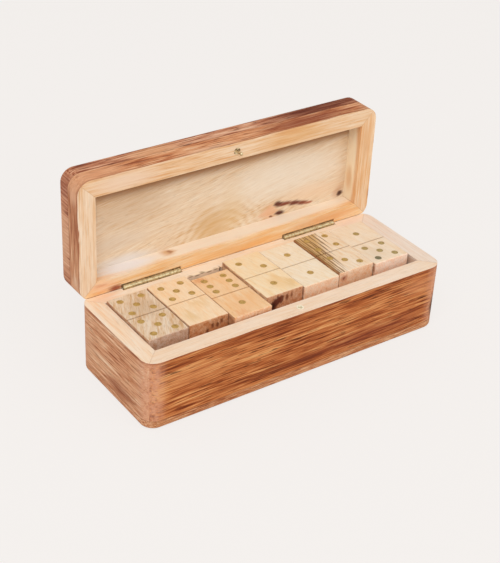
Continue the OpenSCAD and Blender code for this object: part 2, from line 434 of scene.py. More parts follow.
@dataclass(frozen=True)
class BoxPlan:
    """Sizes of the box that its finishes go by, with the lid's as it lies when it is shut.

    Attributes:
        half: half its length and half its depth.
        inside: the same of its inside.
        corner: radius of its upright corners.
        rim: height of the base's rim.
        floor: height of the joint between the bottom board and the walls.
        axis: y and z of the hinges' axis.
        lid_rim: height of the lid's rim.
        lid_seam: height of the joint between the lid's rails and its top board.
    """

    half: Pair = (100.0, 36.5)
    inside: Pair = (89.5, 26.0)
    corner: float = 8.0
    rim: float = 43.0
    floor: float = 5.5
    axis: Pair = (34.9, 43.1)
    lid_rim: float = 43.2
    lid_seam: float = 54.2

    def shut(self, graph: Graph, place: Wire) -> Wire:
        """The place that a point of the open lid has when the lid is shut."""
        x, y, z = graph.split(place)
        axis_y, axis_z = self.axis
        return graph.join(x, (axis_y + axis_z) - z, y + (axis_z - axis_y))

    def outward(self, graph: Graph, place: Wire) -> Wire:
        """How far a point lies outside the box's plan, below 0 inside it."""
        x, y, _ = graph.split(place)
        over_x = abs(x) - (self.half[0] - self.corner)
        over_y = abs(y) - (self.half[1] - self.corner)
        away = graph.join(over_x.most(0.0), over_y.most(0.0), 0.0).length()
        return away + over_x.most(over_y).least(0.0) - self.corner

    def mitre(self, graph: Graph, place: Wire) -> Wire:
        """How far a point lies from the nearest mitre joint."""
        x, y, _ = graph.split(place)
        return abs(abs(x) - abs(y) - (self.inside[0] - self.inside[1]))

    def corner_wear(self, graph: Graph, place: Wire) -> Wire:
        """1 on the rounded upright corners, 0 on the flat sides."""
        x, y, _ = graph.split(place)
        worn = self.corner * 0.75
        over_x = abs(x) - (self.half[0] - worn)
        over_y = abs(y) - (self.half[1] - worn)
        return graph.span(over_x.least(over_y), -7.0, 1.5)


PLAN = BoxPlan()

# Colours of thin lines, and how a line fades from its middle
BRINK_BROWN = seen((150, 78, 42))
SEAM_BROWN = seen((110, 58, 34))
MITRE_BROWN = seen((186, 144, 106))
PANEL_BROWN = seen((96, 48, 28))
GROOVE_BROWN = seen((120, 80, 48))
LINE_FADE = (0.1, 0.5)


@dataclass(frozen=True)
class Sheen:
    """How the surface of a wood takes the light.

    Attributes:
        rough: roughness in the hollows of its relief, and on the crests.
        gloss: strength of its reflections.
        depth: depth of its relief.
    """

    rough: Pair
    gloss: float
    depth: float

    def close(self, graph: Graph, colour: Wire, relief: Wire) -> bpy.types.Material:
        """Closes a wood's material, whose relief lies between 0 and 1."""
        rough = graph.span(relief, 0.0, 1.0, self.rough)
        return graph.finish(
            relief, self.depth, Base_Color=colour, Roughness=rough, Specular_IOR_Level=self.gloss
        )


BOARD_SHEEN = Sheen((0.66, 0.48), 0.15, 0.07)
TILE_SHEEN = Sheen((0.6, 0.45), 0.25, 0.05)


@dataclass(frozen=True)
class SideFinish:
    """A side of the box or a rail of the lid: stained outside, bare inside and on its rim.

    Attributes:
        name: the material's name.
        outside: the stained wood.
        inside: the bare wood.
        worn: colour of the worn corners.
        lid: whether it belongs to the lid.
        fray: how far the stain's edge at the rim wanders.
        spots: places of another colour, over all else outside, such as painted shade.
    """

    name: str
    outside: Timber
    inside: Timber
    worn: Tone = (214, 156, 124)
    lid: bool = False
    fray: float = 1.0
    spots: Tuple[Mark, ...] = ()

    def material(self) -> bpy.types.Material:
        """Builds the material."""
        graph = Graph(self.name)
        place = graph.place()
        stained, rough = self.outside.paint(graph, place)
        plain, smooth = self.inside.paint(graph, place)
        own = PLAN.shut(graph, place) if self.lid else place
        edge, seam = (PLAN.lid_rim, PLAN.lid_seam) if self.lid else (PLAN.rim, PLAN.floor)
        out = PLAN.outward(graph, own)
        height = graph.split(own)[2]
        below = (height - edge) if self.lid else (edge - height)
        fray = (graph.noise(place, (16.0, 16.0, 16.0), 6.0, 5.0) - 0.5) * self.fray
        skin = graph.span(out, -0.6, -0.25) * graph.span(below + fray, 0.1, 0.4)
        stained = self._wear_and_painted_shade(graph, place, own, stained)
        brink = graph.span(below, 0.3, 2.2, (0.5, 0.0))
        stained = graph.mix(brink, stained, BRINK_BROWN)
        joint = graph.fade(abs(height - seam), *LINE_FADE) * skin
        stained = graph.mix(joint * 0.25, stained, SEAM_BROWN)
        line = graph.fade(PLAN.mitre(graph, own), *LINE_FADE) * (1.0 - skin)
        plain = graph.mix(line * 0.3, plain, MITRE_BROWN)
        relief = smooth.toward(rough, skin) - line * 0.6 - joint * 0.3
        return BOARD_SHEEN.close(graph, graph.mix(skin, plain, stained), relief)

    def _wear_and_painted_shade(self, graph: Graph, place: Wire, own: Wire, stained: Wire) -> Wire:
        """The stained wood with its worn corners, and the spots over them, such as painted shade.
        """
        scuff = graph.noise(place, (2.2, 2.2, 3.0), 4.0, 5.0)
        wear = PLAN.corner_wear(graph, own) * graph.span(scuff, 0.34, 0.66, (0.4, 0.8))
        stained = graph.mix(wear, stained, seen(self.worn))
        for mark in self.spots:
            stained = mark.over(stained, mark.mask(mark.away(place)))
        return stained


@dataclass(frozen=True)
class BoardFinish:
    """The bottom board or the lid's top board, with a bare inner face.

    Attributes:
        name: the material's name.
        outside: the stained wood.
        inside: the bare wood of the face that shows inside.
        ends: the stained end grain.
        lid: whether it belongs to the lid.
        inner: height of the inner face.
    """

    name: str
    outside: Timber
    inside: Timber
    ends: Timber
    lid: bool
    inner: float

    def material(self) -> bpy.types.Material:
        """Builds the material."""
        graph = Graph(self.name)
        place = graph.place()
        stained, rough = self.outside.paint(graph, place)
        plain, smooth = self.inside.paint(graph, place)
        end, end_rough = self.ends.paint(graph, place)
        own = PLAN.shut(graph, place) if self.lid else place
        x, _, height = graph.split(own)
        at_end = graph.span(abs(x), PLAN.half[0] - 5.0, PLAN.half[0] - 1.5)
        stained = graph.mix(at_end, stained, end)
        rough = rough.toward(end_rough, at_end)
        away = (height - self.inner) if self.lid else (self.inner - height)
        out = PLAN.outward(graph, own)
        joint = graph.fade(away, 0.1, 0.6) * graph.span(out, -1.0, -0.3)
        stained = graph.mix(joint * 0.35, stained, PANEL_BROWN)
        skin = graph.span(away, 0.05, 0.2).most(graph.span(out, -2.0, -1.0))
        relief = smooth.toward(rough, skin) - joint * 0.3
        return BOARD_SHEEN.close(graph, graph.mix(skin, plain, stained), relief)


@dataclass(frozen=True)
class TileFinish:
    """A domino: long grain on its faces, end grain on its ends, blots of brown on its long sides.

    Attributes:
        name: the material's name.
        box: lowest and highest corner of the domino.
        wood: the wood of its faces, with marks about the domino's middle.
        end: the wood of its ends.
        side_brown: colour of the blots on its long sides.
    """

    name: str
    box: Tuple[Place, Place]
    wood: Timber
    end: Timber
    side_brown: Tone = (160, 96, 60)

    def material(self) -> bpy.types.Material:
        """Builds the material."""
        graph = Graph(self.name)
        low, high = self.box
        middle = [(a + b) / 2 for a, b in zip(low, high)]
        half = [(b - a) / 2 for a, b in zip(low, high)]
        place = graph.place() - middle
        face, relief = self.wood.paint(graph, place)
        end, end_relief = self.end.paint(graph, place)
        x, y, z = graph.split(place)
        at_end = graph.span(abs(y), half[1] - 0.45, half[1] - 0.2)
        colour = graph.mix(at_end, face, end)
        groove = graph.fade(abs(y), 0.3, 0.55) * graph.span(z, half[2] - 0.7, half[2] - 0.1)
        colour = graph.mix(groove * 0.6, colour, GROOVE_BROWN)
        # Blots of brown on the long sides, which face the gaps between the dominoes
        side = graph.span(abs(x), half[0] - 0.45, half[0] - 0.1)
        side_blots = graph.noise(place, (4.0, 5.0, 2.0), 8.0, 3.0)
        browner_sides = side * graph.span(side_blots, 0.3, 0.65, (0.35, 0.8))
        colour = graph.mix(browner_sides, colour, seen(self.side_brown))
        relief = relief.toward(end_relief, at_end)
        return TILE_SHEEN.close(graph, colour, relief)


@dataclass(frozen=True)
class MetalFinish:
    """Brass with tarnish and fine scratches; the catch's bush takes it as a near-white painted
    highlight.

    Attributes:
        name: the material's name.
        bright: colour of the clean metal.
        dull: colour of the tarnish.
        metal: how metallic it looks.
        rough: roughness of clean and tarnished metal.
        scratch: sizes of the scratches.
        cover: how much of it is tarnished, from 0 to 1.
        odd: places of another colour.
    """

    name: str
    bright: Tone
    dull: Tone
    metal: float
    rough: Pair = (0.32, 0.6)
    scratch: Place = (6.0, 0.12, 0.12)
    cover: float = 0.5
    odd: Tuple[Mark, ...] = ()

    def material(self) -> bpy.types.Material:
        """Builds the material."""
        graph = Graph(self.name)
        place = graph.place()
        cloud = graph.noise(place, (1.6, 1.6, 1.6), 3.0, 4.0)
        line = graph.noise(place, self.scratch, 5.0, 2.0)
        bare_to = 0.62 - 0.3 * self.cover
        tarnish = graph.span(cloud + (line - 0.5) * 0.4, bare_to, bare_to + 0.16)
        colour = graph.mix(tarnish, seen(self.bright), seen(self.dull))
        for mark in self.odd:
            colour = mark.over(colour, mark.mask(mark.away(place)))
        rough = graph.span(tarnish, 0.0, 1.0, self.rough)
        return graph.finish(line, 0.015, Base_Color=colour, Roughness=rough, Metallic=self.metal)


def dress(node: str, material: bpy.types.Material) -> None:
    """Gives a node of the model its material in every slot."""
    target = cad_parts[node]
    if not target.material_slots:
        target.data.materials.append(material)
    for slot in target.material_slots:
        slot.material = material


def box_of(node: str) -> Tuple[Place, Place]:
    """Lowest and highest corner of a node, in millimetres."""
    low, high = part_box(node)
    return tuple(v / MM for v in low), tuple(v / MM for v in high)


def soften(node: str, width: float) -> None:
    """Rounds the sharp edges of a node of the model a little.

    Args:
        node: the node's name.
        width: width of the rounding, in millimetres.
    """
    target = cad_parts[node]
    flatten = target.modifiers.new("flatten", "DECIMATE")
    flatten.decimate_type = "DISSOLVE"
    flatten.angle_limit = math.radians(0.5)
    bevel = target.modifiers.new("soft_edges", "BEVEL")
    bevel.width = width * MM
    bevel.segments = 2
    bevel.limit_method = "ANGLE"
    bevel.angle_limit = math.radians(32)
    bevel.harden_normals = True


# Stained woods, from the darkest streak to the palest
FRONT_STAIN = palette(
    (110, 46, 16), (150, 74, 30), (184, 106, 54), (202, 130, 74), (222, 160, 100)
)
END_STAIN = palette(
    (150, 82, 48), (190, 122, 80), (214, 156, 116), (228, 178, 138), (246, 212, 176)
)
LID_STAIN = palette(
    (140, 68, 36), (190, 112, 68), (218, 148, 100), (230, 168, 122), (244, 198, 156)
)
TOP_STAIN = palette(
    (100, 38, 20), (152, 80, 50), (194, 126, 90), (216, 154, 118), (238, 190, 154)
)
RAIL_STAIN = palette(
    (144, 74, 42), (178, 110, 72), (200, 138, 98), (216, 160, 120), (240, 198, 160)
)
BAND_STAIN = palette(
    (120, 58, 30), (162, 94, 54), (192, 128, 84), (210, 154, 110), (228, 186, 144)
)
KNOT_DARK = (92, 36, 24)

# Makers of marks, one for each face. The lid's faces are those of the open lid
on_front = on_face(Axis.Y, -PLAN.half[1], 9)
on_back = on_face(Axis.Y, PLAN.half[1], 9)
on_left = on_face(Axis.X, -PLAN.half[0], 9)
on_right = on_face(Axis.X, PLAN.half[0], 9)
inside_back = on_face(Axis.Y, PLAN.inside[1], 3)
on_edge = on_face(Axis.Z, 114.5, 9)
in_lid = on_face(Axis.Y, 46, 30)
on_tile = on_face(Axis.Z, 5, 6)
on_end = on_face(Axis.Y, -22.2, 3)

# What differs in the front wall, in the lid's board and in the lid's back rim; the lid's board
# holds painted shade at the top and the left edge of its recess
FRONT_MARKS = (
    on_front(-20, 39.5, 60, 6, (150, 76, 36), 0.3, -0.14),
    on_front(-93, 23, 12, 6, shift=0.24),
    on_front(-72, 29, 32, 9, (206, 134, 82), 0.35, 0.12),
    on_front(-28, 25.5, 26, 3.6, shift=0.28),
    on_front(12, 29.5, 26, 3, shift=0.22),
    on_front(-14, 11.2, 58, 4.4, (118, 54, 24), 0.4, -0.26),
    on_front(-78, 9, 12, 2.4, shift=-0.2),
    on_front(46, 12, 60, 9, (136, 64, 38), 0.45, -0.05),
    on_front(86, 33, 24, 9, (206, 136, 90), 0.5, 0.1),
    on_front(40, 33, 24, 7, (182, 102, 50), 0.3),
)
KNOTS = tuple(
    in_lid(x, z, wide, tall, colour, 0.95, soft=0.7, wander=1.6)
    for x, z, wide, tall, colour in (
        (39, 60, 5, 2.8, KNOT_DARK), (44.5, 58.8, 6.6, 2.1, (128, 58, 40)),
        (51, 57.4, 7, 2.1, (110, 46, 32)), (57, 56, 6.6, 1.8, (134, 66, 46)),
        (62, 55, 4.4, 1.3, (170, 100, 72)), (40, 53.6, 4.8, 2.3, (80, 26, 20)),
        (33.6, 52.8, 1.8, 0.9, (118, 58, 40)), (87.2, 55.4, 2.8, 2.6, (78, 46, 38)),
    )
)
PANEL_MARKS = (
    Mark((-2, 46, 36), (46, 60, 56), shift=0.15, rings=10, soft=0.6, wander=1.5),
    in_lid(-9, 54, 19, 26, (214, 172, 116), 0.65, wander=1.5),
    in_lid(6, 66, 12, 26, (224, 188, 136), 0.5, wander=1.5),
    in_lid(-62, 84, 40, 20, (212, 186, 158), 0.5, -0.06),
    in_lid(-70, 66, 30, 8, (222, 204, 184), 0.5, -0.04),
    in_lid(40, 78, 62, 20, (242, 230, 212), 0.6),
    # Painted shade: a dark brown band across the top of the recess, under the lid's front rail
    Mark((0, 46, 104), (400, 60, 14), (150, 104, 64), 0.95, soft=0.55, wander=0.6),
    # Painted shade: a darker strip down the recess's left edge, beside the lid's left rail
    in_lid(-90, 88, 9, 24, (176, 146, 112), 0.5, wander=1),
    in_lid(-66, 53, 27, 6, (230, 222, 216), 0.7, wander=1.5),
    in_lid(62, 62, 30, 9, (244, 214, 182), 0.6),
    in_lid(32, 56, 9, 7, (232, 176, 136), 0.75),
    in_lid(86, 57, 6, 5, (206, 160, 128), 0.6),
    *KNOTS,
)
BACK_RIM_MARKS = (
    Mark((0, 43, 52.5), (150, 9.5, 3), (247, 234, 216), 0.85, soft=0.5, wander=1.5),
    Mark((-68, 42, 52), (28, 9, 5), (240, 234, 232), 0.9),
    Mark((-40, 42.5, 52), (6.5, 5, 4), (216, 164, 108), 0.8, wander=1.5),
    Mark((-39, 42.5, 52), (2.2, 2.6, 3), (168, 116, 84), 0.8, wander=1),
    Mark((-48, 37, 50), (7, 5, 4), (238, 190, 134), 0.6),
    Mark((-86, 36, 48), (16, 5, 7), (240, 190, 156), 0.6),
    Mark((-86, 35, 49), (6, 3, 1.6), (224, 160, 120), 0.7),
    Mark((-78, 35, 44.4), (8, 3, 2.8), (150, 70, 46), 0.9),
    Mark((68, 35, 48), (34, 6, 5), (236, 172, 114), 0.7),
    Mark((54, 38, 49), (9, 5, 5), (240, 202, 158), 0.6),
    Mark((5, 35, 46), (50, 4, 4), (242, 186, 120), 0.7),
)


def bare(middle: Tone, grain: Axis, seed: float, *marks: Mark, **changes: Any) -> Timber:
    """Bare pale wood about a middle tone. The changes are other fields of its Timber."""
    calm: Dict[str, Any] = {"weights": (1.1, 0.9, 1.4), "pores": 0.14, **changes}
    return Timber(shades(middle), grain, seed=seed, marks=marks, **calm)


@dataclass(frozen=True)
class StorageBox:
    """The box and its lid, with their hinges and catch.

    Attributes:
        edge: width of the rounding of the edges of its walls and rails.
    """

    edge: float = 0.18

    def build(self) -> None:
        """Dresses every node of the box and the lid."""
        self._dress_walls()
        self._dress_lid()
        self._dress_boards()
        self._dress_metal()

    def _dress_side(self, node: str, outside: Timber, inside: Timber, **changes: Any) -> None:
        """Dresses one wall or rail, and rounds its edges."""
        dress(node, SideFinish(f"wood_{node}", outside, inside, **changes).material())
        soften(node, self.edge)
        LOG.info("side %s", node)

    def _dress_walls(self) -> None:
        """The four walls of the base."""
        front = Timber(
            FRONT_STAIN, Axis.X, slope=(0, 0, -0.015), seed=2, streak=1.5, fibre=0.8,
            stretch=1.2, pores=0.85, marks=FRONT_MARKS,
        )
        # Painted shade: a dark brown patch on the front wall's right rounded corner, where it turns
        # into shadow
        corner = Mark((97, -35, 15), (5.4, 3.4, 10.5), (62, 34, 22), 0.85, soft=0.7)
        left = Timber(
            END_STAIN, Axis.Y, slope=(0, 0, 0.02), seed=5, streak=1.3, weights=(0.6, 0.8, 1.3),
            marks=(
                on_left(-8, 10.5, 24, 6, (146, 82, 52), 0.6, -0.1),
                on_left(8, 19, 20, 2.4, (234, 200, 166), 0.5, 0.14),
                on_left(-6, 27, 18, 5, shift=-0.1),
                on_left(26, 20, 10, 16, (210, 160, 124), 0.4, 0.06),
            ),
        )
        back = Timber(
            FRONT_STAIN, Axis.X, slope=(0, 0, 0.03), seed=33, stretch=1.4,
            marks=(
                on_back(42, 27, 60, 5, shift=0.24),
                on_back(-35, 15, 50, 5, shift=-0.26),
                on_back(-70, 32, 28, 5, shift=0.16),
            ),
        )
        right = replace(
            left, seed=37, slope=(0, 0, 0.06),
            marks=(on_right(4, 26, 30, 5, shift=0.16),
                   on_right(2, 13, 26, 4, (128, 68, 44), 0.5, -0.15)),
        )
        # Scratches on the back wall's inner face; the pale patch is painted light that lifts the
        # shaded gap behind a domino
        scratches_and_painted_light = (
            inside_back(-26, 40, 14, 5, (255, 238, 208), 0.75, soft=0.3, wander=1.5),
            *(inside_back(x, z, 2.6, 0.7, (140, 110, 74), 0.65, wander=1)
              for x, z in ((-35, 42.6), (-30.5, 42.2), (-27, 42.8), (-22.5, 42.3), (-18, 42.6))),
            inside_back(-14.8, 42, 0.9, 2.2, (96, 70, 46), 0.9, wander=0.4),
        )
        for node, outside, inside in (
            ("front_wall", front, bare((246, 220, 193), Axis.X, 14, weights=(0.9, 0.6, 1))),
            ("left_wall", left, bare((249, 222, 193), Axis.Y, 17)),
            ("right_wall", right, bare((243, 222, 203), Axis.Y, 18, weights=(0.9, 0.7, 1))),
            ("back_wall", back, bare(
                (252, 232, 206), Axis.X, 15, *scratches_and_painted_light,
                Mark((-88, 31, 43), (14, 7, 4), (244, 196, 160), 0.6),
                Mark((86, 31, 43), (16, 7, 4), (246, 214, 192), 0.6),
            )),
        ):
            # Only the front wall takes the corner's painted shade
            spots = (corner,) if node == "front_wall" else ()
            self._dress_side(node, outside, inside, spots=spots)

    def _dress_lid(self) -> None:
        """The four rails of the lid."""
        front = Timber(
            LID_STAIN, Axis.X, seed=8, streak=1.3, fibre=0.8, pores=0.7,
            marks=(
                on_edge(52, 40, 46, 9, (142, 66, 38), 0.75, -0.12),
                on_edge(-52, 42, 30, 3, shift=-0.1),
                on_edge(-84, 40, 20, 9, (232, 170, 128), 0.5),
                on_edge(-14, 37, 26, 3, (240, 196, 160), 0.5),
            ),
        )
        side = Timber(
            RAIL_STAIN, Axis.Z, seed=11, streak=1.4, weights=(0.6, 0.8, 1.3),
            marks=(
                on_left(40, 105, 5, 9, (238, 188, 152), 0.6),
                on_left(38, 80, 4, 22, shift=-0.12),
                on_left(40, 52, 6, 8, (232, 196, 164), 0.5),
                Mark((-97, 35.5, 55), (3, 0.9, 0.9), (120, 60, 40), 0.9, wander=0),
            ),
        )
        back_rim = bare((246, 206, 156), Axis.X, 21, *BACK_RIM_MARKS, slope=(0, 0, -0.05))
        right_rim = bare(
            (236, 194, 150), Axis.Z, 23,
            # Painted light: a near-white patch over the right rail's inner face, lifting the shade
            # in the recess's corner
            Mark((89.5, 45, 78), (3, 9, 44), (255, 242, 214), 0.85, soft=0.3, wander=1),
            Mark((89.5, 42, 66), (3, 4, 12), (222, 168, 110), 0.6, wander=1.5),
            Mark((94, 35, 96), (7, 4, 22), (224, 174, 126), 0.6),
        )
        front_rim = bare(
            (232, 194, 154), Axis.X, 20,
            Mark((-72, 35, 109), (30, 9, 7), (237, 208, 182), 0.7),
            Mark((40, 35, 109), (34, 9, 7), (222, 172, 116), 0.6),
        )
        for node, outside, inside in (
            ("lid_front_rail", front, front_rim),
            ("lid_left_rail", side, bare((236, 206, 174), Axis.Z, 22)),
            ("lid_right_rail", replace(side, seed=39, marks=()), right_rim),
            ("lid_back_rail", replace(front, seed=40, marks=()), back_rim),
        ):
            self._dress_side(node, outside, inside, worn=(224, 166, 126), lid=True, fray=2.5)

    def _dress_boards(self) -> None:
        """The bottom board and the lid's top board."""
        band = Timber(BAND_STAIN, Axis.X, seed=26, streak=1, fibre=0.35, slope=(0, 0, -0.02))
        bottom = BoardFinish(
            "wood_bottom_panel", band, bare((238, 208, 176), Axis.X, 24),
            replace(band, tones=END_STAIN, grain=Axis.Y, seed=27), False, PLAN.floor,
        )
        dress("bottom_panel", bottom.material())
        top = Timber(
            TOP_STAIN, Axis.X, seed=29, streak=1.3, fibre=0.8, pores=0.7,
            marks=(
                on_edge(66, 50, 44, 12, (108, 48, 26), 0.72, -0.15),
                on_edge(10, 50, 26, 8, shift=0.2),
                on_edge(-45, 49, 24, 8, (226, 164, 114), 0.6, 0.1),
                Mark((10, 56.3, 80), (70, 9, 12), shift=0.2),
                Mark((-30, 56.3, 62), (60, 9, 8), shift=-0.2),
            ),
        )
        end = Timber(
            TOP_STAIN, Axis.Y, broad=7, streak=1.1, fibre=0.6, weights=(0.6, 1, 1.2), seed=30,
            marks=(
                on_left(50, 108, 12, 14, (150, 88, 66), 0.5),
                on_left(52, 72, 12, 34, (218, 166, 130), 0.65, 0.1),
            ),
        )
        panel = Timber(
            shades((234, 210, 180), 1.3), Axis.X, broad=11, streak=1.6, fibre=0.6, pores=0.2,
            weights=(0.7, 0.5, 1.1), slope=(0, 0, -0.2), sway=7, stretch=0.8, seed=32,
            marks=PANEL_MARKS,
        )
        lid = BoardFinish("wood_lid_top_panel", top, panel, end, True, PLAN.lid_seam)
        dress("lid_top_panel", lid.material())
        LOG.info("boards bottom_panel, lid_top_panel")

    def _dress_metal(self) -> None:
        """The hinges and the catch."""
        brass = MetalFinish(
            "aged_hinge_brass", (222, 206, 162), (184, 162, 116), 0.6, cover=0.45
        ).material()
        for side in ("left", "right"):
            for piece in ("base_leaf", "lid_leaf", "pin"):
                dress(f"{side}_hinge_{piece}", brass)
        stud = MetalFinish("stud_brass", (226, 204, 162), (124, 96, 62), 0.6)
        dress("catch_stud", stud.material())
        # Painted highlight: the catch's bush is near-white and not metallic, standing in for the
        # bright reflection of its metal
        bush = MetalFinish("bush_painted_highlight", (255, 246, 220), (252, 236, 204), 0, cover=0.2)
        dress("catch_bush", bush.material())
        LOG.info("hinges and catch")


def tile_timber(middle: Tone, seed: float, *marks: Mark, **changes: Any) -> Timber:
    """The wood of a domino, its marks placed from its middle. The changes are other fields."""
    calm: Dict[str, Any] = {
        "broad": 4, "streak": 1.2, "weights": (0.8, 0.5, 0.7), "pores": 0.12, "stretch": 0.4,
        **changes,
    }
    return Timber(shades(middle), Axis.Y, seed=seed, marks=marks, **calm)


def tile_end(middle: Tone, seed: float, *marks: Mark) -> Timber:
    """The end grain of a domino."""
    return Timber(
        shades(middle, 1.3), Axis.Z, broad=3, streak=1.2, fibre=0.4, weights=(0.9, 0.7, 0.7),
        stretch=0.1, seed=seed, marks=marks,
    )


# The dominoes that show, by name: the wood of their faces and of their ends
TOP_ROW: Dict[str, Tuple[Timber, Timber]] = {
    "5_5": (
        tile_timber(
            (228, 200, 168), 51, on_tile(2, 6, 14, 12, (206, 178, 148), 0.5),
            slope=(-0.45, 0, 0), weights=(1.4, 1.2, 1.3), streak=1.1, pores=0.3,
        ),
        tile_end((208, 172, 146), 52),
    ),
    "5_0": (
        tile_timber(
            (250, 220, 182), 54, on_tile(-6, -14, 6, 8, (226, 186, 124), 0.5),
            on_tile(4, -6, 9, 5, (236, 196, 140), 0.5), broad=3.5,
        ),
        tile_end(
            (210, 152, 108), 55,
            on_end(4, 0, 7, 5, (176, 112, 70), 0.5),
            *(on_end(x, z, 1.5, 2.6, (112, 58, 32), 0.85, wander=0.8)
              for x, z in ((-1, -2), (2.2, 0.6), (5.4, 0.4), (8, 1.8))),
        ),
    ),
    "6_1": (
        tile_timber(
            (246, 206, 160), 57, on_tile(0, -12, 13, 13, (243, 192, 140), 0.6),
            on_tile(-8, 19, 7, 5, (222, 148, 92), 0.6),
            on_tile(-6, -20, 7, 4, (236, 170, 120), 0.6), weights=(0.7, 0.5, 0.4),
        ),
        tile_end(
            (240, 192, 152), 58,
            on_end(-6, -2, 2.2, 2.2, (150, 92, 64), 0.6),
            on_end(2, 0.5, 1.2, 1, (130, 76, 52), 0.6),
        ),
    ),
    "2_1": (
        tile_timber(
            (250, 225, 186), 60, on_tile(4, -12, 10, 10, (240, 200, 142), 0.6),
            on_tile(9, -16, 5, 7, (228, 186, 122), 0.5), slope=(0.2, 0, 0),
        ),
        tile_end(
            (210, 154, 116), 61,
            on_end(-8.5, -2, 4.4, 4, KNOT_DARK, 0.95, soft=0.5, wander=0.8),
            on_end(-5.4, 0.8, 3.6, 3.6, KNOT_DARK, 0.95, soft=0.5, wander=0.8),
            on_end(-2.6, 1.6, 2.4, 3.4, (104, 46, 28), 0.9, soft=0.5, wander=0.8),
            on_end(-8, -1.5, 2.2, 2.4, (52, 22, 14), 0.9, wander=0.5),
            on_end(1.4, 1.6, 1.7, 3.4, (120, 60, 34), 0.9, wander=0.8),
            on_end(4.6, 2.2, 1.2, 2.6, (130, 70, 42), 0.85, wander=0.8),
        ),
    ),
    "1_1": (
        tile_timber((248, 230, 202), 63, weights=(0.7, 1, 0.7), slope=(0.25, 0, 0)),
        tile_end((250, 214, 182), 64, on_end(0, -4, 12, 3, (226, 176, 140), 0.5)),
    ),
    "4_3": (
        tile_timber(
            (244, 220, 190), 66,
            *(Mark((-13 + 2.8 * k, 5 + 4.6 * k, 5), (3.2, 38 - 5 * k, 9), (208, 168, 108),
                   0.8, soft=0.5, wander=1.5) for k in range(7)),
            *(Mark((x, 22 - reach / 2, 5), (wide, reach, 9), (134, 92, 48), 0.85, soft=0.6,
                   wander=1.4)
              for x, wide, reach in ((-11.7, 1, 50), (-10.2, 0.5, 44), (-8.6, 0.8, 48),
                                     (-6.4, 0.6, 34), (-4.9, 0.9, 30), (-2, 0.6, 22),
                                     (0.4, 0.8, 16), (3, 0.5, 12))),
            weights=(0.8, 1.2, 0.8), slope=(0.12, 0, 0),
        ),
        tile_end(
            (244, 202, 166), 67,
            on_end(-9, 1, 3.4, 3.4, (186, 112, 82), 0.8, 0.3, 2, wander=1),
            on_end(-9, 0.8, 1.1, 1.1, (130, 66, 46), 0.8, wander=0.5),
        ),
    ),
    "5_1": (
        tile_timber(
            (246, 224, 196), 69, on_tile(-4, -12, 12, 10, (228, 206, 178), 0.5),
            slope=(0.2, 0, 0),
        ),
        tile_end((254, 222, 198), 70),
    ),
}
LOWER_TONES = ((238, 204, 162), (230, 188, 144), (244, 216, 182), (214, 178, 140))


